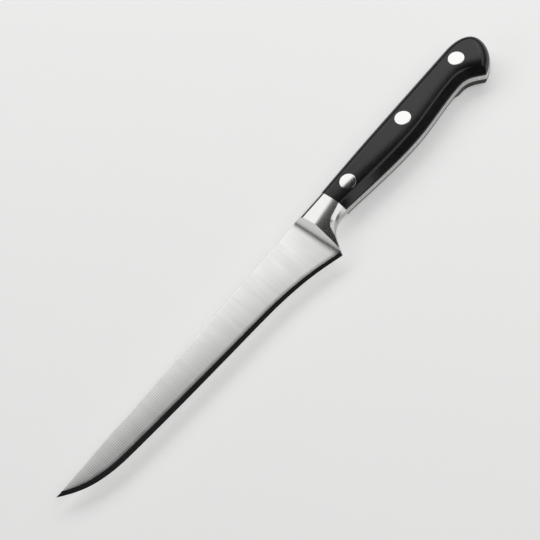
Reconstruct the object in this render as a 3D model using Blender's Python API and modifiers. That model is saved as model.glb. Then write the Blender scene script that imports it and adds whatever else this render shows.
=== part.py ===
"""Boning knife: one forging (blade, bolster and full tang), two handle scales
and three two-part compression rivets.

The shape is worked out in millimetres in a drawing frame: x = 0 on the line where
the blade meets the bolster and +x towards the butt, y = 0 on the spine with the
cutting edge at -y, z = 0 on the middle plane of the tang. world() turns that into
metres in the part's own frame: the knife lies on its side, +X towards the butt,
+Y towards the spine, +Z up, with the origin under the middle of its box.
"""
import math

import bmesh
import bpy
from mathutils import Vector

# Driving dimensions, in millimetres
MM = 0.001
MERGE = 0.000002
BLADE_LENGTH = 153.0
HANDLE_LENGTH = 120.5
HEEL_DROP = 27.3
HALF_THICKNESS = 6.5
TANG_HALF = 1.35
GAP = 0.3

# Blade: each flank is one plane, thinning towards the edge and towards the tip
SPINE_HALF = 1.30
SPINE_RISE = 0.5
FLANK_TAPER_TO_TIP = 0.0057
FLANK_TAPER_TO_EDGE = 0.032
BEVEL_WIDTH_TIP = 2.6
BEVEL_WIDTH_HEEL = 1.8
BEVEL_TAPER_FROM = -12.0
BEVEL_TAPER_TO = -95.0
TIP_BEVEL_SLOPE = 0.17
FLANK_STEPS = 7
BLADE_STATIONS = 26
BLADE_STATION_POWER = 1.35

# Bolster
BOLSTER_LENGTH = 18.2
BOLSTER_TOP = 4.15
BOLSTER_STATIONS = 18
BOLSTER_STATION_POWER = 1.5
RAMP_SLOPE = 0.74
RAMP_FOOT_ABOVE_HEEL = 1.5
SIDE_TURN_Y = -9.5
SIDE_TURN_SOFTNESS = 1.5
SIDE_TAPER = 0.165
SIDE_ROW = 0.55
LOWER_CREASE_HEIGHT = 0.71

# Handle
BUTT_X = 106.7
HOOK_DROP = 23.9
SPINE_SLOPE = 0.0085
SWELL_END = 60.0
HOOK_START = 92.5
HOOK_LENGTH = 9.0
FAN_START = 88.0
STRAIGHT_RIBS = 13
FAN_RIBS = 16
FAN_BACK_STEPS = 8
BUTT_STEPS = 16
HOOK_STEPS = 40
TANG_STEPS = 8
SPINE_ROUND_STEPS = 4
SPINE_ROUND_RISE = 0.77
RIDGE_HALVINGS = 40

# Handle section, each pair at the bolster and at full thickness
SPINE_ROUND_REACH = (3.0, 4.6)
FOOT_INSET = (1.7, 1.35)
FOOT_INSET_AT_HOOK = 0.15
FOOT_HEIGHT = (2.85, 3.65)
CREASE_INSET = (4.05, 3.0)
CREASE_HEIGHT = (4.0, 6.0)
SHOULDER_WIDTH = 2.6

# Rivets
RIVET_X = (28.3, 66.6, 104.6)
RIVET_Y = (-8.2, -9.0, -9.6)
RIVET_NAMES = ("front", "middle", "rear")
RIVET_HEAD_RADIUS = 3.75
RIVET_TUBE_RADIUS = 2.5
RIVET_PIN_RADIUS = 1.5
RIVET_HEAD_THICKNESS = 1.8
RIVET_OVERLENGTH = 1.0
TUBE_PAST_TANG = 1.0
BORE_BELOW_SEAT = 0.4
TANG_HOLE_REACH = 3.0
SCALE_HOLE_REACH = 9.0
ROUND_STEPS = 32

# Outlines as knots (x, y, slope), joined by cubic curves
EDGE_KNOTS = (
    (-BLADE_LENGTH, SPINE_RISE, -0.88),
    (-140.0, -8.35, -0.43),
    (-122.0, -12.75, -0.10),
    (-60.0, -17.70, -0.068),
    (-38.0, -19.25, -0.085),
    (-20.0, -21.75, -0.19),
    (0.0, -HEEL_DROP, -0.34),
)
BELLY_KNOTS = (
    (0.0, -HEEL_DROP, 1.25),
    (4.4, -20.8, 1.45),
    (9.0, -16.2, 0.62),
    (14.0, -14.85, 0.05),
    (18.2, -14.95, -0.11),
    (64.0, -19.20, 0.0),
    (94.0, -17.40, 0.0),
    (99.0, -17.85, -0.30),
    (103.2, -20.40, -0.90),
    (BUTT_X, -HOOK_DROP, -0.97),
)
# How far above the belly the bolster's two crisp creases run, as knots (x, rise, slope)
UPPER_CREASE_KNOTS = (
    (0.0, 0.8, 0.40),
    (4.0, 2.05, 0.12),
    (10.0, 2.45, 0.06),
    (14.5, 2.95, 0.20),
    (18.2, 4.05, 0.38),
)
LOWER_CREASE_KNOTS = (
    (0.0, 0.3, 0.0),
    (8.0, 0.4, 0.03),
    (13.0, 1.0, 0.15),
    (18.2, 1.7, 0.12),
)
BUTT_BEZIERS = (
    ((BUTT_X, -0.9), (114.5, -0.9), (HANDLE_LENGTH, -4.2), (HANDLE_LENGTH, -9.6)),
    ((HANDLE_LENGTH, -9.6), (HANDLE_LENGTH, -15.5), (114.5, -22.3), (BUTT_X, -HOOK_DROP)),
)
MID_X = (HANDLE_LENGTH - BLADE_LENGTH) / 2
MID_Y = (SPINE_RISE - HEEL_DROP) / 2


def world(x, y, z):
    """A drawing point in millimetres as a point of the part in metres."""
    return Vector(((x - MID_X) * MM, (y - MID_Y) * MM, (z + HALF_THICKNESS) * MM))


def mix(a, b, t):
    return a + (b - a) * t


def clamp(value, low, high):
    return max(low, min(high, value))


def curve_through(knots, x):
    """Height at x of the cubic curve through knots with given slopes."""
    for (x0, y0, s0), (x1, y1, s1) in zip(knots, knots[1:]):
        if x <= x1:
            break
    span = x1 - x0
    t = clamp((x - x0) / span, 0.0, 1.0)
    rise = t * t * (3 - 2 * t)
    return mix(y0, y1, rise) + span * t * (1 - t) * ((1 - t) * s0 - t * s1)


def bezier(points, t):
    """Point at t on a cubic Bezier curve."""
    p0, p1, p2, p3 = (Vector(p) for p in points)
    s = 1 - t
    return s * s * s * p0 + 3 * s * s * t * p1 + 3 * s * t * t * p2 + t * t * t * p3


def spine_y(x):
    """The spine rises a hair along the blade and falls a hair along the handle."""
    if x > 0:
        return -SPINE_SLOPE * x
    t = -x / BLADE_LENGTH
    return SPINE_RISE * t * (2 - t)


def flank_half(x, y):
    """Half-thickness of the blade's flat flank."""
    return SPINE_HALF + FLANK_TAPER_TO_TIP * x + FLANK_TAPER_TO_EDGE * y


def blade_section(x):
    """Half section of the blade, from the spine to the cutting edge, as (y, z)."""
    spine = spine_y(x)
    edge = curve_through(EDGE_KNOTS, x)
    along = clamp((x - BEVEL_TAPER_FROM) / (BEVEL_TAPER_TO - BEVEL_TAPER_FROM), 0.0, 1.0)
    bevel = min(spine, edge + mix(BEVEL_WIDTH_HEEL, BEVEL_WIDTH_TIP, along))
    most = TIP_BEVEL_SLOPE * (spine - edge)
    spine_half = min(flank_half(x, spine), most)
    bevel_half = min(flank_half(x, bevel), most)
    section = [(spine, 0.0), (spine, spine_half)]
    for step in range(1, FLANK_STEPS + 1):
        t = step / FLANK_STEPS
        section.append((mix(spine, bevel, t), mix(spine_half, bevel_half, t)))
    section.append((mix(bevel, edge, 0.5), bevel_half * 0.5))
    section.append((edge, 0.0))
    return section


def swell(x):
    """0 at the bolster, 1 where the handle has reached its full thickness."""
    t = clamp((x - BOLSTER_LENGTH) / (SWELL_END - BOLSTER_LENGTH), 0.0, 1.0)
    return t * (2 - t)


def hook(x):
    """0 along the grip, 1 where the belly has turned down into the hook."""
    return clamp((x - HOOK_START) / HOOK_LENGTH, 0.0, 1.0)


def spine_profile(x):
    """Rounded spine side as (distance in from the outline, height)."""
    top = mix(BOLSTER_TOP, HALF_THICKNESS, swell(x))
    reach = mix(*SPINE_ROUND_REACH, swell(x))
    rise = SPINE_ROUND_RISE * top
    profile = []
    for step in range(SPINE_ROUND_STEPS + 1):
        angle = math.pi / 2 * step / SPINE_ROUND_STEPS
        profile.append((reach * (1 - math.cos(angle)), top - rise * (1 - math.sin(angle))))
    return profile


def belly_profile(x):
    """Belly side as (distance in from the outline, height), from the tang outwards."""
    s = swell(x)
    h = hook(x)
    top = mix(BOLSTER_TOP, HALF_THICKNESS, s)
    foot = (mix(mix(*FOOT_INSET, s), FOOT_INSET_AT_HOOK, h), mix(*FOOT_HEIGHT, s))
    crease = (mix(*CREASE_INSET, s), mix(*CREASE_HEIGHT, s))
    return [(0.0, TANG_HALF), foot, crease, (crease[0] + SHOULDER_WIDTH, top)]


def bolster_side(y):
    """Half-thickness of the bolster's side, flat by the spine and thinner at the heel."""
    below = max(0.0, SIDE_TURN_Y - y)
    return BOLSTER_TOP - SIDE_TAPER * below * below / (below + SIDE_TURN_SOFTNESS)


def bolster_section(x):
    """Half section of the bolster, from the spine to the belly, as (y, z)."""
    spine = spine_y(x)
    belly = curve_through(BELLY_KNOTS, x)
    upper = belly + curve_through(UPPER_CREASE_KNOTS, x)
    lower = belly + curve_through(LOWER_CREASE_KNOTS, x)
    section = [(spine, 0.0)]
    section += [(spine - inset, height) for inset, height in spine_profile(BOLSTER_LENGTH)]
    shoulder = section[-1][0]
    middle = mix(shoulder, upper, SIDE_ROW)
    section.append((middle, bolster_side(middle)))
    section.append((upper, bolster_side(upper)))
    section.append((lower, LOWER_CREASE_HEIGHT * bolster_side(lower)))
    section.append((belly, TANG_HALF * bolster_side(belly) / BOLSTER_TOP))
    section.append((belly, 0.0))
    ramp_limited = []
    for y, z in section:
        foot = flank_half(0.0, clamp(y, RAMP_FOOT_ABOVE_HEEL - HEEL_DROP, 0.0))
        ramp_limited.append((y, min(z, foot + RAMP_SLOPE * x)))
    return ramp_limited


def closed_ring(x, half_section):
    """A whole section, mirrored through the middle plane, as world points."""
    upper = [world(x, y, z) for y, z in half_section]
    lower = [world(x, y, -z) for y, z in half_section[1:-1]]
    return upper + lower[::-1]


def collection(name):
    made = bpy.data.collections.new(name)
    bpy.context.scene.collection.children.link(made)
    return made


def material(name, color, roughness, metallic):
    made = bpy.data.materials.new(name)
    made.use_nodes = True
    shader = made.node_tree.nodes["Principled BSDF"]
    shader.inputs["Base Color"].default_value = (*color, 1.0)
    shader.inputs["Roughness"].default_value = roughness
    shader.inputs["Metallic"].default_value = metallic
    return made


def loft(name, rings, target):
    """A closed solid through rings of equal length, capped at both ends."""
    form = bmesh.new()
    rows = [[form.verts.new(point) for point in ring] for ring in rings]
    count = len(rows[0])
    for row, following in zip(rows, rows[1:]):
        for i in range(count):
            j = (i + 1) % count
            form.faces.new((row[i], row[j], following[j], following[i]))
    form.faces.new(rows[0][::-1])
    form.faces.new(rows[-1])
    bmesh.ops.remove_doubles(form, verts=form.verts, dist=MERGE)
    bmesh.ops.dissolve_degenerate(form, edges=form.edges, dist=MERGE)
    bmesh.ops.triangulate(form, faces=form.faces)
    bmesh.ops.recalc_face_normals(form, faces=form.faces)
    mesh = bpy.data.meshes.new(name)
    form.to_mesh(mesh)
    form.free()
    made = bpy.data.objects.new(name, mesh)
    target.objects.link(made)
    return made


def make_cutter(shape):
    """Mark an object as a construction shape that isn't a part."""
    shape.hide_render = True
    shape.display_type = "WIRE"
    return shape


def boolean(target, other, operation):
    modifier = target.modifiers.new(other.name, "BOOLEAN")
    modifier.operation = operation
    modifier.solver = "EXACT"
    modifier.object = other


def shade(part):
    """Smooth shading with crisp edges where the surface turns sharply."""
    part.data.shade_smooth()
    part.data.set_sharp_from_angle(angle=math.radians(30))


def rivet_cylinder(name, radius, low, high, index, cutters):
    """A round cutter on a rivet's axis, between two heights."""
    bpy.ops.mesh.primitive_cylinder_add(
        vertices=ROUND_STEPS,
        radius=radius * MM,
        depth=(high - low) * MM,
        location=world(RIVET_X[index], RIVET_Y[index], (low + high) / 2),
    )
    made = bpy.context.object
    made.name = name
    for holder in list(made.users_collection):
        holder.objects.unlink(made)
    cutters.objects.link(made)
    return make_cutter(made)


def surface_height(index):
    """Height of the handle's side at a rivet's axis."""
    return mix(BOLSTER_TOP, HALF_THICKNESS, swell(RIVET_X[index]))


def forging(parts, cutters, steel):
    """Blade, bolster and full tang in one piece of steel, drilled for the rivets."""
    rings = []
    for step in range(BLADE_STATIONS):
        x = -BLADE_LENGTH * (1 - (step / BLADE_STATIONS) ** BLADE_STATION_POWER)
        rings.append(closed_ring(x, blade_section(x)))
    for step in range(BOLSTER_STATIONS + 1):
        x = BOLSTER_LENGTH * (step / BOLSTER_STATIONS) ** BOLSTER_STATION_POWER
        rings.append(closed_ring(x, blade_section(0.0) if step == 0 else bolster_section(x)))
    rings += [tang_ring(rib) for rib in handle_ribs(BOLSTER_LENGTH)]
    made = loft("blade_bolster_tang", rings, parts)
    for index, name in enumerate(RIVET_NAMES):
        hole = rivet_cylinder(
            f"{name}_tang_hole", RIVET_TUBE_RADIUS + GAP, -TANG_HOLE_REACH, TANG_HOLE_REACH, index, cutters
        )
        boolean(made, hole, "DIFFERENCE")
    made.data.materials.append(steel)
    shade(made)
    return made


def handle_ribs(start):
    """Pairs of points on the spine side and the belly side, from bolster to butt."""
    ribs = []
    for step in range(STRAIGHT_RIBS):
        x = mix(start, FAN_START, step / STRAIGHT_RIBS)
        ribs.append((Vector((x, spine_y(x))), Vector((x, curve_through(BELLY_KNOTS, x)))))
    back = []
    for step in range(FAN_BACK_STEPS):
        back.append(Vector((mix(FAN_START, BUTT_X, step / FAN_BACK_STEPS), spine_y(BUTT_X))))
    for segment in BUTT_BEZIERS:
        back += [bezier(segment, step / BUTT_STEPS) for step in range(BUTT_STEPS)]
    back.append(Vector((BUTT_X, -HOOK_DROP)))
    hooked = []
    for step in range(HOOK_STEPS + 1):
        x = mix(FAN_START, BUTT_X, step / HOOK_STEPS)
        hooked.append(Vector((x, curve_through(BELLY_KNOTS, x))))
    for step in range(FAN_RIBS + 1):
        t = step / FAN_RIBS
        ribs.append((along(back, t), along(hooked, t)))
    return ribs


def along(path, t):
    """Point at a fraction of the length of a path."""
    lengths = [(b - a).length for a, b in zip(path, path[1:])]
    left = t * sum(lengths)
    for a, b, length in zip(path, path[1:], lengths):
        if left <= length:
            return a.lerp(b, left / length)
        left -= length
    return path[-1]


def height_on(profile, inset):
    """Height of a profile at a distance in from the outline."""
    for (d0, z0), (d1, z1) in zip(profile, profile[1:]):
        if inset <= d1:
            return mix(z0, z1, (inset - d0) / (d1 - d0))
    return profile[-1][1]


def ridge(spine_side, belly_side, width):
    """Distance from the spine where the two sides of a narrow rib meet."""
    low, high = 0.0, width
    for _ in range(RIDGE_HALVINGS):
        middle = (low + high) / 2
        if height_on(spine_side, middle) < height_on(belly_side, width - middle):
            low = middle
        else:
            high = middle
    return low


def rib_half(rib):
    """The handle's surface over one rib, from spine to belly, as (x, y, height)."""
    spine, belly = rib
    width = (belly - spine).length
    x = (spine.x + belly.x) / 2
    spine_side = spine_profile(x)
    belly_side = belly_profile(x)
    meet = ridge(spine_side, belly_side, width)
    section = [(min(inset, meet), spine_side) for inset, _ in spine_side]
    section += [(max(width - inset, meet), belly_side) for inset, _ in reversed(belly_side)]
    half = []
    for distance, profile in section:
        place = spine.lerp(belly, distance / width) if width > 0 else spine
        inset = distance if profile is spine_side else width - distance
        half.append((place.x, place.y, height_on(profile, inset)))
    return half


def tang_ring(rib):
    """Closed section of the flat tang along one rib."""
    spine, belly = rib
    flat = [(spine.lerp(belly, step / TANG_STEPS), TANG_HALF) for step in range(TANG_STEPS + 1)]
    half = [(spine, 0.0)] + flat + [(belly, 0.0)]
    upper = [world(*place, z) for place, z in half]
    lower = [world(*place, -z) for place, z in half[1:-1]]
    return upper + lower[::-1]


def scale_ring(rib, side):
    """Closed section of a scale, with its flat inner face a gap away from the tang."""
    base = TANG_HALF + GAP
    half = [(x, y, max(z, base)) for x, y, z in rib_half(rib)]
    ring = [(*half[0][:2], base)] + half + [(*half[-1][:2], base)]
    return [world(x, y, side * z) for x, y, z in ring]


def envelope_ring(rib):
    """Closed section of the whole handle, both sides at once."""
    half = rib_half(rib)
    upper = [world(x, y, z) for x, y, z in half]
    lower = [world(x, y, -z) for x, y, z in half]
    return upper + lower[::-1]


def scale(name, side, parts, cutters, polymer):
    """One handle scale, bored and counterbored for the three rivets."""
    ribs = handle_ribs(BOLSTER_LENGTH + GAP)
    made = loft(name, [scale_ring(rib, side) for rib in ribs], parts)
    for index, rivet in enumerate(RIVET_NAMES):
        seat = surface_height(index) - RIVET_HEAD_THICKNESS - GAP
        end = side * SCALE_HOLE_REACH
        bore = rivet_cylinder(
            f"{name}_{rivet}_bore", RIVET_TUBE_RADIUS + GAP, *sorted((0.0, end)), index, cutters
        )
        counterbore = rivet_cylinder(
            f"{name}_{rivet}_counterbore", RIVET_HEAD_RADIUS + GAP,
            *sorted((side * seat, end)), index, cutters
        )
        boolean(made, bore, "DIFFERENCE")
        boolean(made, counterbore, "DIFFERENCE")
    made.data.materials.append(polymer)
    shade(made)
    return made


def turned(name, profile, index, side, target):
    """A turned piece on a rivet's axis from an (radius, height) profile, top to bottom."""
    mesh = bpy.data.meshes.new(name)
    points = [(radius * MM, 0.0, side * height * MM) for radius, height in profile]
    if side < 0:
        points.reverse()
    mesh.from_pydata(points, [(i, i + 1) for i in range(len(points) - 1)], [])
    made = bpy.data.objects.new(name, mesh)
    target.objects.link(made)
    made.location = world(RIVET_X[index], RIVET_Y[index], 0.0)
    screw = made.modifiers.new("Turn", "SCREW")
    screw.steps = ROUND_STEPS
    screw.render_steps = ROUND_STEPS
    screw.use_merge_vertices = True
    screw.merge_threshold = 0.00001
    screw.use_smooth_shade = True
    return made


def rivet(index, parts, cutters, envelope, steel):
    """A two-part compression rivet: a headed tube from above, a headed pin from below."""
    name = RIVET_NAMES[index]
    seat = surface_height(index) - RIVET_HEAD_THICKNESS
    over = HALF_THICKNESS + RIVET_OVERLENGTH
    bore = RIVET_PIN_RADIUS + GAP
    tube_end = -(TANG_HALF + TUBE_PAST_TANG)
    bore_end = seat - BORE_BELOW_SEAT
    tube_profile = (
        (0.0, over),
        (RIVET_HEAD_RADIUS, over),
        (RIVET_HEAD_RADIUS, seat),
        (RIVET_TUBE_RADIUS, seat),
        (RIVET_TUBE_RADIUS, tube_end),
        (bore, tube_end),
        (bore, bore_end),
        (0.0, bore_end),
    )
    pin_profile = (
        (0.0, over),
        (RIVET_HEAD_RADIUS, over),
        (RIVET_HEAD_RADIUS, seat),
        (RIVET_TUBE_RADIUS, seat),
        (RIVET_TUBE_RADIUS, -tube_end + GAP),
        (RIVET_PIN_RADIUS, -tube_end + GAP),
        (RIVET_PIN_RADIUS, GAP - bore_end),
        (0.0, GAP - bore_end),
    )
    tube = turned(f"{name}_rivet_tube", tube_profile, index, 1, parts)
    pin = turned(f"{name}_rivet_pin", pin_profile, index, -1, parts)
    for piece in (tube, pin):
        boolean(piece, envelope, "INTERSECT")
        piece.data.materials.append(steel)


def build():
    for old in list(bpy.data.objects):
        bpy.data.objects.remove(old)
    parts = collection("boning_knife")
    cutters = collection("construction")
    blade_steel = material("blade_steel", (0.66, 0.66, 0.645), 0.32, 1.0)
    rivet_steel = material("rivet_steel", (0.63, 0.63, 0.62), 0.17, 1.0)
    black_polymer = material("black_polymer", (0.008, 0.008, 0.008), 0.27, 0.0)
    forging(parts, cutters, blade_steel)
    scale("upper_scale", 1, parts, cutters, black_polymer)
    scale("lower_scale", -1, parts, cutters, black_polymer)
    envelope_rings = [envelope_ring(rib) for rib in handle_ribs(BOLSTER_LENGTH)]
    envelope = make_cutter(loft("handle_envelope", envelope_rings, cutters))
    for index in range(len(RIVET_NAMES)):
        rivet(index, parts, cutters, envelope, rivet_steel)


build()
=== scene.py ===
"""Boning knife: fine surfaces, materials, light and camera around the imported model.

Shapes are worked out in millimetres in the drawing frame that the CAD source uses: x = 0 on the
line where the blade meets the bolster and +x towards the butt, y = 0 on the spine with the edge
at -y, z = 0 on the middle plane of the tang. place() turns that into metres in the shared frame.
"""
import math

import bmesh
import bpy
import numpy as np
from mathutils import Matrix, Vector


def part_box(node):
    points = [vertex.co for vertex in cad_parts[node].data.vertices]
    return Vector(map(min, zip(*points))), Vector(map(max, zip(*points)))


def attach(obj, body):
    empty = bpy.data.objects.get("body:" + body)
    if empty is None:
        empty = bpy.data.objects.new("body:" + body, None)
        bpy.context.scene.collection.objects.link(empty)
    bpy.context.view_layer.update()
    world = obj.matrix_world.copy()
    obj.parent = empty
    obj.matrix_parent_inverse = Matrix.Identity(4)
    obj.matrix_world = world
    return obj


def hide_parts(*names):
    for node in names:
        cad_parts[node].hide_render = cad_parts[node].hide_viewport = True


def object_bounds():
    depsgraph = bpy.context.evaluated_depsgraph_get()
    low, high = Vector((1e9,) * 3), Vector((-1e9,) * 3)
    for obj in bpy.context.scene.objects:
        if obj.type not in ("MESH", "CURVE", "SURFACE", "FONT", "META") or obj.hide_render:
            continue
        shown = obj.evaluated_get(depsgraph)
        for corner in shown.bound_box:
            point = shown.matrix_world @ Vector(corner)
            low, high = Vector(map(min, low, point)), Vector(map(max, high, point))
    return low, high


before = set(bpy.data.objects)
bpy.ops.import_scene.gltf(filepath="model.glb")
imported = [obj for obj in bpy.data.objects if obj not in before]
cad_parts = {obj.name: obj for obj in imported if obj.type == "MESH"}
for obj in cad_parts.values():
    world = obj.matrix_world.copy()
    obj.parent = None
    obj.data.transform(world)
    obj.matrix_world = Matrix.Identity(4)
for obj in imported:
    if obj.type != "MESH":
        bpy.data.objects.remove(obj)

CAD_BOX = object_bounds()
MM = 0.001
MERGE = 0.000002

# Sizes that the CAD source fixes, in millimetres
BLADE_LENGTH = 153.0
HANDLE_LENGTH = 120.5
HEEL_DROP = 27.3
TANG_HALF = 1.35
SPINE_HALF = 1.30
SPINE_RISE = 0.5
FLANK_TAPER_TO_TIP = 0.0057
FLANK_TAPER_TO_EDGE = 0.032
BEVEL_WIDTH_TIP = 2.6
BEVEL_WIDTH_HEEL = 1.8
BEVEL_TAPER_FROM = -12.0
BEVEL_TAPER_TO = -95.0
TIP_BEVEL_SLOPE = 0.17
BOLSTER_LENGTH = 18.2
BOLSTER_TOP = 4.15
RAMP_SLOPE = 0.74
SIDE_TAPER = 0.165
LOWER_CREASE_HEIGHT = 0.71
BUTT_X = 106.7
HOOK_DROP = 23.9
SPINE_SLOPE = 0.0085
SWELL_END = 60.0
HOOK_START = 92.5
HOOK_LENGTH = 9.0
FAN_START = 88.0
RIVET_SHANK_RADIUS = 2.5
RIVET_PIN_RADIUS = 1.5
RIVET_HEAD_THICKNESS = 1.8
RIVET_TUBE_PAST_TANG = 1.0
RIVET_BORE_BELOW_SEAT = 0.4
RIVET_PIN_GAP = 0.3
SPINE_ROUND_HANDLE = 4.6
SPINE_ROUND_RISE = 0.77

# Finer shape of the blade and bolster, which the CAD has plainer, in millimetres
RAMP_FILLET = 1.15
SHORTEST_RAMP = 0.05
FLANK_CROWN = 0.09
BEVEL_SHOULDER_WIDTH = 1.5
BEVEL_SHOULDER_DROP = 0.07
SPINE_EDGE_RADIUS = 0.30
BLADE_ROUND_FULL_WIDTH = 14.0
SIDE_TURN_Y = -8.9
SIDE_TURN_RISE = 0.144
SIDE_TURN_SOFTNESS = 2.5
SPINE_ROUND_BOLSTER = 3.6
FACET_HOLLOW = 0.03

# Finer shape of the scales: the crease at the bolster and at full thickness, and the lip's
# height on the upper scale (1) and on the lower scale (-1)
CREASE_INSET = (4.05, 3.3)
CREASE_HEIGHT = (3.66, 5.82)
CREASE_LEAD = (0.6, 0.38)
LIP_INSET = 0.15
LIP_HEIGHT = {1: 2.1, -1: 2.5}
LIP_HEIGHT_AT_HOOK = {1: 2.1, -1: 4.4}
CORNER_SOFTNESS = (0.12, 0.4, 0.3)
LEAST_SOFTNESS = 0.01
PANEL_CURVE_REACH = 6.2
PAST_WIDEST = 60.0
RIDGE_SOFTNESS = 0.5
SCALE_GAP = 0.02
THINNEST = 0.02

# Finer shape of the rivets and their holes
RIVET_GAP = 0.03
RIVET_PROUD = 0.02
RIVET_RIM = 0.14
DRILL_REACH = 9.0

# Rows across a half section, and stations along the knife
SPINE_ROWS = 14
PANEL_ROWS = 36
FACET_ROWS = 8
BELLY_ROWS = 6
EDGE_ROWS = 3
BLADE_STATIONS = 150
BLADE_STATION_POWER = 1.3
FILLET_STATIONS = 16
FILLET_REACH = 2.4
RAMP_STATIONS = 22
RAMP_HALVINGS = 30
BOLSTER_STATIONS = 36
STRAIGHT_RIBS = 84
FAN_RIBS = 104
FAN_END = 0.997
FAN_BACK_STEPS = 12
BUTT_STEPS = 48
HOOK_STEPS = 80
SPINE_LINE_STEPS = 60
BELLY_LINE_LEAD = 8.0
BELLY_LINE_STEPS = 260
SCALE_ROWS = 60
SCALE_ROW_CROWDING = 0.75
CORNER_STEPS = 7
PANEL_CURVE_STEPS = 8
RIVET_FACE_RINGS = 8
RIVET_RIM_RINGS = 4
ROUND_STEPS = 72

# Turns steeper than these are shaded as edges
FORGING_EDGE_ANGLE = math.radians(14)
SCALE_EDGE_ANGLE = math.radians(40)
RIVET_EDGE_ANGLE = math.radians(35)

# Material slots of the forging
FLANK, BEVEL, RAMP, POLISH, BELLY = range(5)

# Outlines as knots (x, y, slope), joined by cubic curves, the same as in the CAD source
EDGE_KNOTS = (
    (-BLADE_LENGTH, SPINE_RISE, -0.88),
    (-140.0, -8.35, -0.43),
    (-122.0, -12.75, -0.10),
    (-60.0, -17.70, -0.068),
    (-38.0, -19.25, -0.085),
    (-20.0, -21.75, -0.19),
    (0.0, -HEEL_DROP, -0.34),
)
BELLY_KNOTS = (
    (0.0, -HEEL_DROP, 1.25),
    (4.4, -20.8, 1.45),
    (9.0, -16.2, 0.62),
    (14.0, -14.85, 0.05),
    (18.2, -14.95, -0.11),
    (64.0, -19.20, 0.0),
    (94.0, -17.40, 0.0),
    (99.0, -17.85, -0.30),
    (103.2, -20.40, -0.90),
    (BUTT_X, -HOOK_DROP, -0.97),
)
# How far above the belly the bolster's two creases run, as knots (x, rise, slope)
UPPER_CREASE_KNOTS = (
    (0.0, BEVEL_WIDTH_HEEL, 0.12),
    (4.0, 2.05, 0.14),
    (10.0, 2.45, 0.06),
    (14.5, 2.95, 0.20),
    (18.2, 4.05, 0.38),
)
LOWER_CREASE_KNOTS = (
    (0.0, 0.3, 0.0),
    (8.0, 0.4, 0.03),
    (13.0, 1.0, 0.15),
    (18.2, 1.7, 0.12),
)
# The butt's outline as cubic Bezier curves from the spine round to the hook's corner
BUTT_BEZIERS = (
    ((BUTT_X, -0.907), (114.5, -0.95), (HANDLE_LENGTH, -4.2), (HANDLE_LENGTH, -9.6)),
    ((HANDLE_LENGTH, -9.6), (HANDLE_LENGTH, -15.5), (114.5, -22.3), (BUTT_X, -HOOK_DROP)),
)
RIVET_NAMES = ("front", "middle", "rear")

# Where the drawing frame lies in the shared frame, in metres
FORGING_LOW, FORGING_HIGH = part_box("blade_bolster_tang")
ORIGIN = Vector((
    FORGING_LOW.x + BLADE_LENGTH * MM,
    FORGING_HIGH.y - SPINE_RISE * MM,
    (CAD_BOX[0].z + CAD_BOX[1].z) / 2,
))
HALF_THICKNESS = (CAD_BOX[1].z - CAD_BOX[0].z) / 2 / MM


def place(x, y, z):
    """A drawing point in millimetres as a point in the shared frame."""
    return ORIGIN + Vector((x, y, z)) * MM


def mix(a, b, t):
    return a + (b - a) * t


def clamp(value, low, high):
    return max(low, min(high, value))


def curve_through(knots, x):
    """Height at x of the cubic curve through knots with given slopes."""
    for (x0, y0, s0), (x1, y1, s1) in zip(knots, knots[1:]):
        if x <= x1:
            break
    span = x1 - x0
    t = clamp((x - x0) / span, 0.0, 1.0)
    rise = t * t * (3 - 2 * t)
    return mix(y0, y1, rise) + span * t * (1 - t) * ((1 - t) * s0 - t * s1)


def bezier(points, t):
    """Point at t on a cubic Bezier curve."""
    p0, p1, p2, p3 = (Vector(p) for p in points)
    s = 1 - t
    return s * s * s * p0 + 3 * s * s * t * p1 + 3 * s * t * t * p2 + t * t * t * p3


# ---------------------------------------------------------------- blade and bolster


def spine_y(x):
    """The spine rises a hair along the blade and falls a hair along the handle."""
    if x > 0:
        return -SPINE_SLOPE * x
    t = -x / BLADE_LENGTH
    return SPINE_RISE * t * (2 - t)


def blade_lines(x):
    """Heights of the blade's spine, bevel line and cutting edge."""
    spine = spine_y(x)
    edge = curve_through(EDGE_KNOTS, x)
    tapered = clamp((x - BEVEL_TAPER_FROM) / (BEVEL_TAPER_TO - BEVEL_TAPER_FROM), 0.0, 1.0)
    return spine, min(spine, edge + mix(BEVEL_WIDTH_HEEL, BEVEL_WIDTH_TIP, tapered)), edge


def flank_half(x, y):
    """Half-thickness of the blade's flank before it is crowned."""
    return SPINE_HALF + FLANK_TAPER_TO_TIP * x + FLANK_TAPER_TO_EDGE * y


def blade_half(x, y):
    """Half-thickness of the blade anywhere on its flank or its bevel."""
    spine, bevel, edge = blade_lines(x)
    most = TIP_BEVEL_SLOPE * (spine - edge)
    width = spine - bevel
    full = min(1.0, width / BLADE_ROUND_FULL_WIDTH)
    if y < bevel:
        bevel_top = min(flank_half(x, bevel), most) - BEVEL_SHOULDER_DROP * full
        return bevel_top * clamp((y - edge) / (bevel - edge), 0.0, 1.0)
    across = clamp((y - bevel) / width, 0.0, 1.0) if width > 0 else 0.0
    crown = FLANK_CROWN * 4 * across * (1 - across) * full
    drop = BEVEL_SHOULDER_DROP * full * max(0.0, 1 - (y - bevel) / BEVEL_SHOULDER_WIDTH) ** 2
    return min(flank_half(x, y), most) + crown - drop


def lift(x):
    """The ramp that climbs from the blade to the bolster, with a fillet at its foot."""
    return RAMP_SLOPE * (x + math.hypot(x, RAMP_FILLET)) / 2


def bolster_side(x, y):
    """Half-thickness of the bolster's side, flat by the spine and thinner at the heel."""
    below = max(0.0, SIDE_TURN_Y + SIDE_TURN_RISE * x - y)
    return BOLSTER_TOP - SIDE_TAPER * below * below / (below + SIDE_TURN_SOFTNESS)


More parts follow.
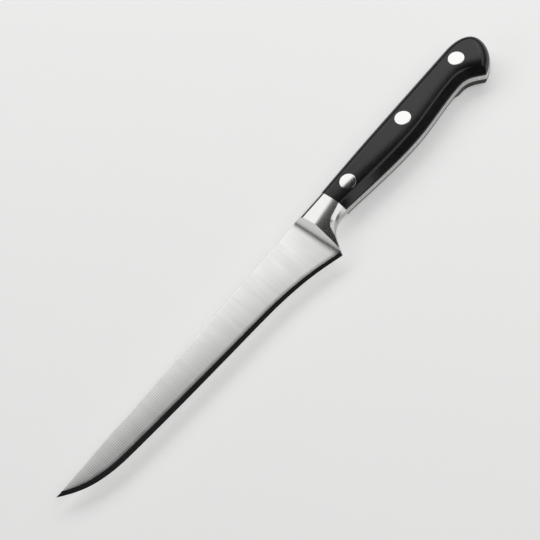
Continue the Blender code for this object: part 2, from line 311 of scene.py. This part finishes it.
def edge_round(inset):
    """How much the blade's spine edge is eased, at a distance in from the spine."""
    left = max(0.0, SPINE_EDGE_RADIUS - inset)
    return SPINE_EDGE_RADIUS - math.sqrt(SPINE_EDGE_RADIUS ** 2 - left ** 2)


def row_list():
    """The lengthwise rows of a half section as (zone, fraction across the zone)."""
    rows = [("middle", 0.0)]
    rows += [("spine", step / SPINE_ROWS) for step in range(SPINE_ROWS)]
    rows += [("panel", step / PANEL_ROWS) for step in range(PANEL_ROWS)]
    rows += [("facet", step / FACET_ROWS) for step in range(FACET_ROWS)]
    rows += [("belly", step / BELLY_ROWS) for step in range(BELLY_ROWS)]
    rows += [("edge", step / EDGE_ROWS) for step in range(EDGE_ROWS + 1)]
    return rows


def bolster_round(t):
    """Half-thickness of the bolster's rounded spine side, t running from its outline inwards."""
    return BOLSTER_TOP * (1 - SPINE_ROUND_RISE * (1 - math.sin(t * math.pi / 2)))


def row_lines(x):
    """Spine, shoulder, upper crease, lower crease and belly heights at x."""
    if x > 0:
        spine = spine_y(x)
        belly = curve_through(BELLY_KNOTS, x)
        upper = belly + curve_through(UPPER_CREASE_KNOTS, x)
        lower = belly + curve_through(LOWER_CREASE_KNOTS, x)
        return spine, spine - SPINE_ROUND_BOLSTER, upper, lower, belly
    spine, bevel, edge = blade_lines(x)
    squeeze = min(1.0, (spine - bevel) / BLADE_ROUND_FULL_WIDTH)
    lower = mix(edge, bevel, LOWER_CREASE_KNOTS[0][1] / BEVEL_WIDTH_HEEL)
    return spine, spine - SPINE_ROUND_BOLSTER * squeeze, bevel, lower, edge


def row_y(row, x):
    """Height of a row at x, as a drawing y."""
    zone, t = row
    spine, shoulder, upper, lower, belly = row_lines(x)
    if zone == "middle":
        return spine
    if zone == "spine":
        return mix(spine, shoulder, 1 - math.cos(t * math.pi / 2))
    if zone == "panel":
        return mix(shoulder, upper, t)
    if zone == "facet":
        return mix(upper, lower, t)
    return mix(lower, belly, t) if zone == "belly" else belly


def finished_half(row, x):
    """Half-thickness of the finished bolster on a row, before the ramp cuts into it."""
    zone, t = row
    upper, lower, belly = row_lines(x)[2:]
    if zone in ("middle", "spine"):
        return bolster_round(t)
    if zone == "panel":
        return bolster_side(x, row_y(row, x))
    low = LOWER_CREASE_HEIGHT * bolster_side(x, lower)
    if zone == "facet":
        return mix(bolster_side(x, upper), low, t) - FACET_HOLLOW * 4 * t * (1 - t)
    thin = mix(bolster_side(x, belly) / BOLSTER_TOP, 1.0, clamp(x / BOLSTER_LENGTH, 0.0, 1.0))
    return mix(low, TANG_HALF * thin, t if zone == "belly" else 1.0)


def ramp_half(row, x):
    """Half-thickness that the blade and its ramp allow on a row."""
    y = row_y(row, x)
    eased = edge_round(spine_y(x) - y) if x <= 0 else 0.0
    return blade_half(min(x, 0.0), y) + lift(x) - eased


def forging_point(row, x):
    """Drawing point of a row at x, anywhere on the blade or bolster."""
    half = ramp_half(row, x)
    if x > 0 or row[0] == "spine":
        half = min(half, finished_half(row, x))
    if row[0] == "middle":
        half = 0.0
    if row[0] == "edge":
        half *= 1 - row[1]
    return x, row_y(row, x), half


def ramp_end(row):
    """Where on a row the ramp reaches the bolster's finished surface."""
    low, high = 0.0, BOLSTER_LENGTH / 2
    for _ in range(RAMP_HALVINGS):
        middle = (low + high) / 2
        if ramp_half(row, middle) < finished_half(row, middle):
            low = middle
        else:
            high = middle
    return max(low, SHORTEST_RAMP)


def tang_point(row, rib):
    """Drawing point of a row on the flat tang, along one rib of the handle."""
    spine, belly = rib
    start = row_lines(BOLSTER_LENGTH)
    y = row_y(row, BOLSTER_LENGTH)
    spot = spine.lerp(belly, (start[0] - y) / (start[0] - start[-1]))
    half = TANG_HALF
    if row[0] == "middle":
        half = 0.0
    if row[0] == "edge":
        half *= 1 - row[1]
    return spot.x, spot.y, half


def forging_rings():
    """Half sections of the forging from tip to butt, each with the zone it starts."""
    rows = row_list()
    rings = []
    for step in range(BLADE_STATIONS):
        x = -BLADE_LENGTH * (1 - (step / BLADE_STATIONS) ** BLADE_STATION_POWER)
        if x < -FILLET_REACH:
            rings.append(("blade", [forging_point(row, x) for row in rows]))
    for step in range(FILLET_STATIONS):
        x = -FILLET_REACH * (1 - step / FILLET_STATIONS)
        rings.append(("blade", [forging_point(row, x) for row in rows]))
    ends = [ramp_end(row) for row in rows]
    for step in range(RAMP_STATIONS):
        t = step / RAMP_STATIONS
        rings.append(("ramp", [forging_point(row, end * t) for row, end in zip(rows, ends)]))
    for step in range(BOLSTER_STATIONS + 1):
        t = step / BOLSTER_STATIONS
        stations = [mix(end, BOLSTER_LENGTH, t) for end in ends]
        rings.append(("bolster", [forging_point(row, x) for row, x in zip(rows, stations)]))
    rings += [("tang", [tang_point(row, rib) for row in rows]) for rib in handle_ribs(BOLSTER_LENGTH)]
    return rings


def forging_zone(part, zone):
    """Material slot of the faces in one zone of one part of the forging."""
    if part == "blade":
        return FLANK if zone in ("middle", "spine", "panel") else BEVEL
    if part == "ramp":
        return RAMP
    if part == "bolster":
        return POLISH if zone in ("middle", "spine", "panel", "facet") else BELLY
    return BELLY


def forging_mesh():
    """Blade, bolster and tang as one closed surface, with a material slot for each finish."""
    zones = [zone for zone, _ in row_list()]
    form = bmesh.new()
    rings = forging_rings()
    lines = []
    for _, half in rings:
        upper = [form.verts.new(place(x, y, z)) for x, y, z in half]
        lower = [form.verts.new(place(x, y, -z)) for x, y, z in half[1:-1]]
        lines.append(upper + lower[::-1])
    count = len(lines[0])
    last = len(zones) - 1
    for (part, _), band in zip(rings, skin(form, lines)):
        for i, face in enumerate(band):
            face.material_index = forging_zone(part, zones[i if i < last else count - 1 - i])
    cap(form, lines)
    return form


def skin(form, lines):
    """Quads from each closed line of points to the next, as a list for each pair of lines."""
    bands = []
    for line, following in zip(lines, lines[1:]):
        quads = zip(line, line[1:] + line[:1], following[1:] + following[:1], following)
        bands.append([form.faces.new(quad) for quad in quads])
    return bands


def cap(form, lines):
    """A face over the first line and one over the last."""
    form.faces.new(lines[0][::-1])
    form.faces.new(lines[-1])


def clean(form):
    """Join what coincides and turn every face outwards."""
    bmesh.ops.remove_doubles(form, verts=form.verts, dist=MERGE)
    bmesh.ops.dissolve_degenerate(form, edges=form.edges, dist=MERGE)
    bmesh.ops.recalc_face_normals(form, faces=form.faces)


def crisp(form, angle, soft_pair=None):
    """Smooth shading, with sharp edges at steep turns and where the finish changes."""
    for face in form.faces:
        face.smooth = True
    for edge in form.edges:
        if len(edge.link_faces) != 2:
            continue
        finishes = {face.material_index for face in edge.link_faces}
        changes = len(finishes) == 2 and finishes != soft_pair
        if changes or edge.calc_face_angle(0.0) > angle:
            edge.smooth = False


def as_object(name, form, materials):
    """A mesh object from a bmesh, with its material slots."""
    mesh = bpy.data.meshes.new(name)
    form.to_mesh(mesh)
    form.free()
    made = bpy.data.objects.new(name, mesh)
    bpy.context.scene.collection.objects.link(made)
    for material in materials:
        mesh.materials.append(material)
    return made


# ---------------------------------------------------------------- handle


def swell(x):
    """0 at the bolster, 1 where the handle has reached its full thickness."""
    t = clamp((x - BOLSTER_LENGTH) / (SWELL_END - BOLSTER_LENGTH), 0.0, 1.0)
    return t * (2 - t)


def along(path, t):
    """Point at a fraction of the length of a path."""
    lengths = [(b - a).length for a, b in zip(path, path[1:])]
    left = t * sum(lengths)
    for a, b, length in zip(path, path[1:], lengths):
        if left <= length:
            return a.lerp(b, left / length)
        left -= length
    return path[-1]


def belly_point(x):
    return Vector((x, curve_through(BELLY_KNOTS, x)))


def butt_path():
    """The outline from the spine round the butt to the corner of the hook."""
    path = []
    for segment in BUTT_BEZIERS:
        path += [bezier(segment, step / BUTT_STEPS) for step in range(BUTT_STEPS)]
    return path + [Vector((BUTT_X, -HOOK_DROP))]


def handle_ribs(start):
    """Pairs of points on the spine side and the belly side, from bolster to butt."""
    ribs = []
    for step in range(STRAIGHT_RIBS):
        x = mix(start, FAN_START, step / STRAIGHT_RIBS)
        ribs.append((Vector((x, spine_y(x))), belly_point(x)))
    back = [Vector((x, spine_y(x))) for x in np.linspace(FAN_START, BUTT_X, FAN_BACK_STEPS)[:-1]]
    back += butt_path()
    hooked = [belly_point(x) for x in np.linspace(FAN_START, BUTT_X, HOOK_STEPS)]
    for step in range(FAN_RIBS + 1):
        t = FAN_END * step / FAN_RIBS
        ribs.append((along(back, t), along(hooked, t)))
    return ribs


# The handle's two outlines, as fine lines that distances are measured from
SPINE_STATIONS = np.linspace(0.0, BUTT_X, SPINE_LINE_STEPS)[:-1]
BELLY_STATIONS = np.linspace(BOLSTER_LENGTH - BELLY_LINE_LEAD, BUTT_X, BELLY_LINE_STEPS)
BACK_LINE = np.array([(x, spine_y(x)) for x in SPINE_STATIONS] + [tuple(p) for p in butt_path()])
BELLY_LINE = np.array([tuple(belly_point(x)) for x in BELLY_STATIONS])


def distance_to(line, points):
    """Distance of each point from a line of short segments."""
    a = line[None, :-1]
    step = line[None, 1:] - a
    to_point = points[:, None] - a
    t = np.clip((to_point * step).sum(2) / (step * step).sum(2), 0.0, 1.0)
    return np.linalg.norm(to_point - t[..., None] * step, axis=2).min(1)


def rounded(corners, softness):
    """A line of corners with each inner corner replaced by a short curve."""
    line = [corners[0]]
    reaches = list(softness) + [LEAST_SOFTNESS] * (len(corners) - 2 - len(softness))
    for before, corner, after, reach in zip(corners, corners[1:], corners[2:], reaches):
        before, corner, after = Vector(before), Vector(corner), Vector(after)
        start = corner + (before - corner).normalized() * reach
        end = corner + (after - corner).normalized() * reach
        for step in range(CORNER_STEPS + 1):
            t = step / CORNER_STEPS
            line.append(tuple((1 - t) ** 2 * start + 2 * t * (1 - t) * corner + t * t * end))
    return np.array(line + [corners[-1]])


def belly_line(x, side):
    """Belly side of the handle, from the tang over the lip and the crease to the side panel.

    The points are (distance in from the outline, height).
    """
    s = swell(x)
    hooked = clamp((x - HOOK_START) / HOOK_LENGTH, 0.0, 1.0)
    hooked = hooked * hooked * (3 - 2 * hooked)
    top = mix(BOLSTER_TOP, HALF_THICKNESS, s)
    lip = (LIP_INSET, mix(LIP_HEIGHT[side], LIP_HEIGHT_AT_HOOK[side], hooked))
    inset, height = mix(*CREASE_INSET, s), mix(*CREASE_HEIGHT, s)
    before = (inset - CREASE_LEAD[0], height - CREASE_LEAD[1])
    corners = [(0.0, TANG_HALF), lip, before, (inset, height)]
    for step in range(1, PANEL_CURVE_STEPS + 1):
        left = 1 - step / PANEL_CURVE_STEPS
        corners.append((inset + PANEL_CURVE_REACH * (1 - left), top - (top - height) * left ** 3))
    return rounded(corners + [(PAST_WIDEST, top)], CORNER_SOFTNESS)


def side_heights(points, x, side):
    """Heights of the handle's side over drawing points near station x."""
    top = mix(BOLSTER_TOP, HALF_THICKNESS, swell(x))
    reach = mix(SPINE_ROUND_BOLSTER, SPINE_ROUND_HANDLE, swell(x))
    from_back = np.clip(distance_to(BACK_LINE, points) / reach, 0.0, 1.0)
    rise = SPINE_ROUND_RISE * top
    spine_side = top - rise * (1 - np.sqrt(np.clip(1 - (1 - from_back) ** 2, 0.0, 1.0)))
    belly_side = np.interp(distance_to(BELLY_LINE, points), *belly_line(x, side).T)
    lower = np.minimum(spine_side, belly_side)
    meet = np.clip(1 - np.abs(spine_side - belly_side) / RIDGE_SOFTNESS, 0.0, 1.0)
    below_top = np.clip((top - lower) / RIDGE_SOFTNESS, 0.0, 1.0)
    return lower - RIDGE_SOFTNESS / 4 * meet ** 2 * below_top


def scale_form(side):
    """One handle scale as a closed surface, flat inside and shaped outside."""
    base = TANG_HALF + SCALE_GAP
    even = np.linspace(0.0, 1.0, SCALE_ROWS)
    fractions = mix(even, (1 - np.cos(math.pi * even)) / 2, SCALE_ROW_CROWDING)
    form = bmesh.new()
    lines = []
    for spine, belly in handle_ribs(BOLSTER_LENGTH + SCALE_GAP):
        points = np.array([tuple(spine.lerp(belly, t)) for t in fractions])
        heights = np.maximum(side_heights(points, (spine.x + belly.x) / 2, side), base + THINNEST)
        outer = [form.verts.new(place(x, y, side * z)) for (x, y), z in zip(points, heights)]
        inner = [form.verts.new(place(x, y, side * base)) for x, y in points]
        lines.append(outer + inner[::-1])
    skin(form, lines)
    cap(form, lines)
    clean(form)
    return form


# ---------------------------------------------------------------- rivets


def rivet_axis(name):
    """Drawing x and y of a rivet's axis, and its head's radius, from its CAD node."""
    low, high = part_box(f"{name}_rivet_tube")
    middle = ((low + high) / 2 - ORIGIN) / MM
    return middle.x, middle.y, (high.x - low.x) / 2 / MM


def turned_form(x, y, profile):
    """A closed surface round an axis from (radius, height function) pairs, one end to the other."""
    form = bmesh.new()
    lines = []
    for radius, height in profile:
        line = []
        for step in range(ROUND_STEPS):
            angle = 2 * math.pi * step / ROUND_STEPS
            px, py = x + radius * math.cos(angle), y + radius * math.sin(angle)
            line.append(form.verts.new(place(px, py, height(px, py))))
        lines.append(line)
    skin(form, lines)
    clean(form)
    return form


def level(z):
    """A height function that is the same everywhere."""
    return lambda x, y: z


def rivet_seat(x):
    """Height of the step that a rivet's head rests on."""
    return mix(BOLSTER_TOP, HALF_THICKNESS, swell(x)) - RIVET_HEAD_THICKNESS


def rivet_form(name, side):
    """Half of a compression rivet: a head shaped to the scale, and its tube or its pin."""
    x, y, head = rivet_axis(name)
    seat = rivet_seat(x)

    def surface(drop):
        return lambda px, py: side * (float(side_heights(np.array([(px, py)]), px, side)[0]) - drop)

    profile = []
    for step in range(RIVET_FACE_RINGS + 1):
        radius = (head - RIVET_RIM) * step / RIVET_FACE_RINGS
        profile.append((radius, surface(-RIVET_PROUD)))
    for step in range(1, RIVET_RIM_RINGS + 1):
        angle = step / RIVET_RIM_RINGS * math.pi / 2
        radius = head - RIVET_RIM * (1 - math.sin(angle))
        profile.append((radius, surface(RIVET_RIM * (1 - math.cos(angle)) - RIVET_PROUD)))
    profile += [(head, level(side * seat)), (RIVET_SHANK_RADIUS, level(side * seat))]
    tube_end = TANG_HALF + RIVET_TUBE_PAST_TANG
    bore_end = seat - RIVET_BORE_BELOW_SEAT
    if side > 0:
        bore = RIVET_PIN_RADIUS + RIVET_PIN_GAP
        profile += [(RIVET_SHANK_RADIUS, level(-tube_end)), (bore, level(-tube_end))]
        profile += [(bore, level(bore_end)), (0.0, level(bore_end))]
    else:
        shoulder = -tube_end - RIVET_PIN_GAP
        pin_end = bore_end - RIVET_PIN_GAP
        profile += [(RIVET_SHANK_RADIUS, level(shoulder)), (RIVET_PIN_RADIUS, level(shoulder))]
        profile += [(RIVET_PIN_RADIUS, level(pin_end)), (0.0, level(pin_end))]
    return turned_form(x, y, profile)


def drill(target, side):
    """Bore and counterbore a scale for the rivets, or bore the tang when side is 0."""
    for name in RIVET_NAMES:
        x, y, head = rivet_axis(name)
        shank = RIVET_SHANK_RADIUS + RIVET_GAP
        if side == 0:
            profile = [
                (0.0, -DRILL_REACH), (shank, -DRILL_REACH), (shank, DRILL_REACH), (0.0, DRILL_REACH),
            ]
        else:
            seat = side * (rivet_seat(x) - RIVET_GAP)
            end = side * DRILL_REACH
            wide = head + RIVET_GAP
            profile = [(0.0, 0.0), (shank, 0.0), (shank, seat), (wide, seat), (wide, end), (0.0, end)]
        form = turned_form(x, y, [(radius, level(z)) for radius, z in profile])
        cutter = as_object(f"{target.name}_{name}_cutter", form, ())
        modifier = target.modifiers.new(name, "BOOLEAN")
        modifier.operation = "DIFFERENCE"
        modifier.solver = "EXACT"
        modifier.object = cutter
        cut = bpy.data.meshes.new_from_object(
            target.evaluated_get(bpy.context.evaluated_depsgraph_get())
        )
        target.modifiers.clear()
        target.data = cut
        bpy.data.objects.remove(cutter)


# ---------------------------------------------------------------- materials


# At this scale a wave texture repeats once in each unit
WAVE_SCALE = math.pi / 10
LINE_WANDER = 2.2
LINE_WANDER_DETAIL = 1.0
LINE_WANDER_SCALE = 0.6
# The low and high values that noise seldom passes
NOISE_RANGE = (0.3, 0.7)
# Turns of the blade's marks away from straight across it
LINES_TURN = math.radians(-4)
SCRATCHES_TURN = math.radians(-3)
GRAIN_TURN = math.radians(35)
# Stretches along the blade, in millimetres from the bolster line, over which the grinding lines fade
# and over which the painted reflection lightens the flank's colour
LINES_FADE = (-110.0, -45.0)
PAINTED_SHEEN_FADE = (-150.0, -20.0)


class Finish:
    """A material under construction: its Principled shader and short ways to add nodes."""

    def __init__(self, name, color, metallic, roughness):
        self.material = bpy.data.materials.new(name)
        self.material.use_nodes = True
        self.tree = self.material.node_tree
        self.shader = self.tree.nodes["Principled BSDF"]
        self.shader.inputs["Base Color"].default_value = (*color, 1.0)
        self.shader.inputs["Metallic"].default_value = metallic
        self.shader.inputs["Roughness"].default_value = roughness
        self.position = self.node("ShaderNodeTexCoord").outputs["Object"]

    def node(self, kind, **settings):
        made = self.tree.nodes.new(kind)
        for key, value in settings.items():
            setattr(made, key, value)
        return made

    def link(self, source, target):
        self.tree.links.new(source, target)

    def noise(self, size_mm, detail=2.0, turn=0.0):
        """Noise whose cells measure size_mm, given as one number or one for each axis."""
        sizes = size_mm if isinstance(size_mm, tuple) else (size_mm,) * 3
        mapping = self.node("ShaderNodeMapping", vector_type="TEXTURE")
        mapping.inputs["Scale"].default_value = [size * MM for size in sizes]
        mapping.inputs["Rotation"].default_value = (0.0, 0.0, turn)
        texture = self.node("ShaderNodeTexNoise")
        texture.inputs["Scale"].default_value = 1.0
        texture.inputs["Detail"].default_value = detail
        self.link(self.position, mapping.inputs["Vector"])
        self.link(mapping.outputs["Vector"], texture.inputs["Vector"])
        return texture.outputs["Fac"]

    def lines(self, pitch_mm, turn):
        """Grinding lines across the x axis, evenly spaced but for a little wander."""
        mapping = self.node("ShaderNodeMapping", vector_type="TEXTURE")
        mapping.inputs["Scale"].default_value = (pitch_mm * MM,) * 3
        mapping.inputs["Rotation"].default_value = (0.0, 0.0, turn)
        texture = self.node("ShaderNodeTexWave", wave_type="BANDS", bands_direction="X")
        texture.inputs["Scale"].default_value = WAVE_SCALE
        texture.inputs["Distortion"].default_value = LINE_WANDER
        texture.inputs["Detail"].default_value = LINE_WANDER_DETAIL
        texture.inputs["Detail Scale"].default_value = LINE_WANDER_SCALE
        self.link(self.position, mapping.inputs["Vector"])
        self.link(mapping.outputs["Vector"], texture.inputs["Vector"])
        return texture.outputs["Fac"]

    def remap(self, value, low, high, to_low, to_high):
        """The value's stretch from low to high carried over to to_low to to_high."""
        made = self.node("ShaderNodeMapRange", clamp=True)
        self.link(value, made.inputs["Value"])
        made.inputs["From Min"].default_value = low
        made.inputs["From Max"].default_value = high
        made.inputs["To Min"].default_value = to_low
        made.inputs["To Max"].default_value = to_high
        return made.outputs["Result"]

    def combine(self, operation, first, second):
        """Sum, difference or product of two values, each a number or a socket."""
        made = self.node("ShaderNodeMath", operation=operation)
        for socket, value in zip(made.inputs, (first, second)):
            if isinstance(value, (int, float)):
                socket.default_value = value
            else:
                self.link(value, socket)
        return made.outputs["Value"]

    def color(self, factor, dark, light):
        """Base colour that runs from dark to light with a factor."""
        made = self.node("ShaderNodeMix", data_type="RGBA")
        self.link(factor, made.inputs["Factor"])
        made.inputs["A"].default_value = (*dark, 1.0)
        made.inputs["B"].default_value = (*light, 1.0)
        self.link(made.outputs["Result"], self.shader.inputs["Base Color"])

    def roughness(self, value):
        self.link(value, self.shader.inputs["Roughness"])

    def bump(self, height, depth_mm):
        """Relief depth_mm deep, laid over any relief that is there already."""
        made = self.node("ShaderNodeBump")
        made.inputs["Strength"].default_value = 1.0
        made.inputs["Distance"].default_value = depth_mm * MM
        self.link(height, made.inputs["Height"])
        before = self.shader.inputs["Normal"].links
        if before:
            self.link(before[0].from_socket, made.inputs["Normal"])
        self.link(made.outputs["Normal"], self.shader.inputs["Normal"])

    def along_knife(self, stretch, to_low, to_high):
        """A value that changes along the knife, over a stretch in millimetres."""
        split = self.node("ShaderNodeSeparateXYZ")
        self.link(self.position, split.inputs["Vector"])
        low, high = (ORIGIN.x + x * MM for x in stretch)
        return self.remap(split.outputs["X"], low, high, to_low, to_high)


def flank_steel():
    """Steel ground across the blade: lines that show more and more towards the tip, and a painted
    reflection that lightens the colour towards the heel.
    """
    finish = Finish("flank_steel", (0.74, 0.74, 0.725), 1.0, 0.32)
    lines = finish.combine("SUBTRACT", finish.lines(0.85, LINES_TURN), 0.5)
    shown = finish.combine("MULTIPLY", lines, finish.along_knife(LINES_FADE, 1.0, 0.12))
    streaks = finish.remap(finish.noise((1.6, 20.0, 20.0), turn=LINES_TURN), *NOISE_RANGE, -0.08, 0.08)
    marks_and_painted_sheen = finish.combine("MULTIPLY", shown, 0.9)
    # painted reflection: the colour lightens from the tip towards the heel, where the key light's
    # reflection falls brighter
    marks_and_painted_sheen = finish.combine("ADD", marks_and_painted_sheen, finish.along_knife(PAINTED_SHEEN_FADE, 0.03, 0.14))
    marks_and_painted_sheen = finish.combine("ADD", marks_and_painted_sheen, streaks)
    finish.color(finish.remap(marks_and_painted_sheen, -0.5, 0.3, 0.0, 1.0), (0.54, 0.54, 0.525), (0.82, 0.82, 0.805))
    finish.roughness(finish.remap(finish.noise((5.0, 9.0, 9.0)), *NOISE_RANGE, 0.30, 0.34))
    finish.bump(shown, 0.006)
    finish.bump(finish.noise((0.12, 9.0, 9.0), turn=SCRATCHES_TURN), 0.0012)
    return finish.material


def bevel_steel():
    """The polished edge bevel."""
    finish = Finish("bevel_steel", (0.55, 0.55, 0.54), 1.0, 0.12)
    along_edge = finish.noise((7.0, 0.5, 0.5))
    finish.color(along_edge, (0.42, 0.42, 0.41), (0.50, 0.50, 0.49))
    finish.roughness(finish.remap(along_edge, *NOISE_RANGE, 0.09, 0.11))
    return finish.material


def ramp_steel():
    """The fine satin ramp in front of the bolster."""
    finish = Finish("ramp_steel", (0.68, 0.68, 0.67), 1.0, 0.3)
    lines = finish.noise((0.25, 7.0, 7.0))
    finish.color(finish.remap(lines, *NOISE_RANGE, 0.0, 1.0), (0.64, 0.64, 0.63), (0.73, 0.73, 0.72))
    finish.roughness(finish.remap(lines, *NOISE_RANGE, 0.27, 0.34))
    finish.bump(lines, 0.001)
    return finish.material


def polished_steel():
    """The polished bolster, with the faintest unevenness."""
    finish = Finish("polished_steel", (0.58, 0.58, 0.565), 1.0, 0.16)
    cloud = finish.noise(2.6)
    finish.color(cloud, (0.55, 0.55, 0.535), (0.61, 0.61, 0.595))
    finish.roughness(finish.remap(cloud, *NOISE_RANGE, 0.146, 0.152))
    return finish.material


def belly_steel():
    """The belly of the bolster and the tang's edge, belt-ground across."""
    finish = Finish("belly_steel", (0.70, 0.70, 0.685), 1.0, 0.36)
    marks = finish.noise((0.5, 5.0, 5.0), detail=3.0)
    finish.color(finish.remap(marks, *NOISE_RANGE, 0.0, 1.0), (0.50, 0.50, 0.49), (0.66, 0.66, 0.645))
    finish.roughness(finish.remap(marks, *NOISE_RANGE, 0.42, 0.32))
    finish.bump(marks, 0.004)
    return finish.material


def rivet_steel():
    """Rivet heads ground flush and finely satined."""
    finish = Finish("rivet_steel", (0.63, 0.63, 0.62), 1.0, 0.13)
    grain = finish.noise((0.3, 0.9, 0.9), detail=3.0, turn=GRAIN_TURN)
    finish.color(grain, (0.61, 0.61, 0.60), (0.66, 0.66, 0.65))
    finish.roughness(finish.remap(finish.noise(1.5), *NOISE_RANGE, 0.14, 0.15))
    finish.bump(grain, 0.0008)
    return finish.material


def black_polymer():
    """Dense black moulded polymer, buffed to a low sheen."""
    finish = Finish("black_polymer", (0.008, 0.008, 0.008), 0.0, 0.29)
    finish.shader.inputs["Specular IOR Level"].default_value = 0.42
    mottle = finish.noise(3.5, detail=3.0)
    finish.color(mottle, (0.006, 0.006, 0.006), (0.011, 0.011, 0.0105))
    finish.roughness(finish.remap(mottle, *NOISE_RANGE, 0.24, 0.29))
    finish.bump(finish.noise(0.22), 0.004)
    finish.bump(finish.noise((9.0, 0.3, 0.3)), 0.002)
    return finish.material


# ---------------------------------------------------------------- light, floor and camera

# The camera's place is a drawing point in millimetres; the rest of the stage is in metres
CAMERA_AT = (-153.9, -273.1, 471.2)
CAMERA_AZIMUTH = math.radians(-26.052)
CAMERA_ELEVATION = math.radians(57.665)
CAMERA_ROLL = math.radians(-26.572)
CAMERA_LENS = 86.667
CAMERA_NEAREST = 0.01
FLOOR_SIZE = 8.0
FLOOR_BELOW = 0.00005
FLOOR_GLOW = 0.37
FLOOR_CLOUD_MM = 90.0
LIGHT_AIM = Vector((0.0, 0.0, 0.01))
LIGHT_DISTANCE = 0.95
# The studio's grey at heights from the horizon to overhead
STUDIO_STOPS = ((0.0, 0.05), (0.35, 0.04), (0.75, 0.025))
# Softboxes: name, degrees round and above the knife's middle, width, depth and radiance
SOFTBOXES = (
    ("key", 26.0, 46.5, 1.4, 0.62, 1.5),
    ("front_fill", 152.0, 49.0, 0.9, 0.56, 1.35),
    ("end_fill", 93.0, 35.0, 0.76, 0.5, 1.0),
    ("side_fill", -57.0, 28.0, 0.5, 0.4, 1.2),
)


def make_camera():
    """The camera at the viewing angle that azimuth, elevation and roll give."""
    data = bpy.data.cameras.new("camera")
    data.lens = CAMERA_LENS
    data.clip_start = CAMERA_NEAREST
    made = bpy.data.objects.new("camera", data)
    azimuth, elevation = CAMERA_AZIMUTH, CAMERA_ELEVATION
    back = Vector((
        math.sin(azimuth) * math.cos(elevation),
        -math.cos(azimuth) * math.cos(elevation),
        math.sin(elevation),
    ))
    level_right = Vector((math.cos(azimuth), math.sin(azimuth), 0.0))
    level_up = back.cross(level_right)
    right = level_right * math.cos(CAMERA_ROLL) + level_up * math.sin(CAMERA_ROLL)
    up = back.cross(right)
    turn = Matrix((right, up, back)).transposed().to_4x4()
    made.matrix_world = Matrix.Translation(place(*CAMERA_AT)) @ turn
    bpy.context.scene.collection.objects.link(made)
    bpy.context.scene.camera = made


def softbox(name, side, height, width, depth, radiance):
    """A rectangular light that faces the knife's middle."""
    data = bpy.data.lights.new(name, "AREA")
    data.shape = "RECTANGLE"
    data.size = width
    data.size_y = depth
    data.energy = radiance * math.pi * width * depth
    made = bpy.data.objects.new(name, data)
    a, e = math.radians(side), math.radians(height)
    way = Vector((math.sin(a) * math.cos(e), math.cos(a) * math.cos(e), math.sin(e)))
    made.location = LIGHT_AIM + way * LIGHT_DISTANCE
    made.rotation_euler = way.to_track_quat("Z", "Y").to_euler()
    bpy.context.scene.collection.objects.link(made)


def make_floor():
    """A plain pale floor that is lit from within a little, as a sheet on a light table is."""
    form = bmesh.new()
    bmesh.ops.create_grid(form, x_segments=1, y_segments=1, size=FLOOR_SIZE / 2)
    floor = as_object("floor", form, ())
    floor.location.z = CAD_BOX[0].z - FLOOR_BELOW
    finish = Finish("floor_card", (0.8, 0.8, 0.795), 0.0, 0.9)
    finish.color(finish.noise(FLOOR_CLOUD_MM), (0.79, 0.79, 0.785), (0.81, 0.81, 0.805))
    finish.shader.inputs["Emission Color"].default_value = (1.0, 1.0, 0.995, 1.0)
    finish.shader.inputs["Emission Strength"].default_value = FLOOR_GLOW
    floor.data.materials.append(finish.material)


def make_world():
    """A dim studio, a little darker overhead than near the horizon."""
    world = bpy.data.worlds.new("studio")
    world.use_nodes = True
    tree = world.node_tree
    background = tree.nodes["Background"]
    coords = tree.nodes.new("ShaderNodeTexCoord")
    split = tree.nodes.new("ShaderNodeSeparateXYZ")
    ramp = tree.nodes.new("ShaderNodeValToRGB")
    tree.links.new(coords.outputs["Generated"], split.inputs["Vector"])
    tree.links.new(split.outputs["Z"], ramp.inputs["Fac"])
    tree.links.new(ramp.outputs["Color"], background.inputs["Color"])
    for position, _ in STUDIO_STOPS[1:-1]:
        ramp.color_ramp.elements.new(position)
    for element, (position, grey) in zip(ramp.color_ramp.elements, STUDIO_STOPS):
        element.position = position
        element.color = (grey, grey, grey, 1.0)
    bpy.context.scene.world = world


def make_stage():
    """Camera, floor, studio and lights, with colours shown as they are worked out."""
    make_camera()
    make_floor()
    make_world()
    for settings in SOFTBOXES:
        softbox(*settings)
    bpy.context.scene.view_settings.view_transform = "Standard"


# ---------------------------------------------------------------- the knife


def build_forging():
    """Blade, bolster and drilled tang, with a finish for each ground surface."""
    form = forging_mesh()
    clean(form)
    crisp(form, FORGING_EDGE_ANGLE, {FLANK, RAMP})
    materials = (flank_steel(), bevel_steel(), ramp_steel(), polished_steel(), belly_steel())
    forging = as_object("forged_blade_and_tang", form, materials)
    drill(forging, 0)
    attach(forging, "root")
    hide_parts("blade_bolster_tang")


def build_scales():
    """The two handle scales, bored and counterbored."""
    polymer = black_polymer()
    for name, side in (("upper", 1), ("lower", -1)):
        form = scale_form(side)
        crisp(form, SCALE_EDGE_ANGLE)
        scale = as_object(f"{name}_handle_scale", form, (polymer,))
        drill(scale, side)
        scale.data.set_sharp_from_angle(angle=SCALE_EDGE_ANGLE)
        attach(scale, "root")
        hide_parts(f"{name}_scale")


def build_rivets():
    """The tube and the pin of each rivet."""
    steel = rivet_steel()
    for name in RIVET_NAMES:
        for half, side in (("tube", 1), ("pin", -1)):
            form = rivet_form(name, side)
            crisp(form, RIVET_EDGE_ANGLE)
            rivet = as_object(f"{name}_rivet_headed_{half}", form, (steel,))
            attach(rivet, "root")
            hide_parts(f"{name}_rivet_{half}")


make_stage()
build_forging()
build_scales()
build_rivets()
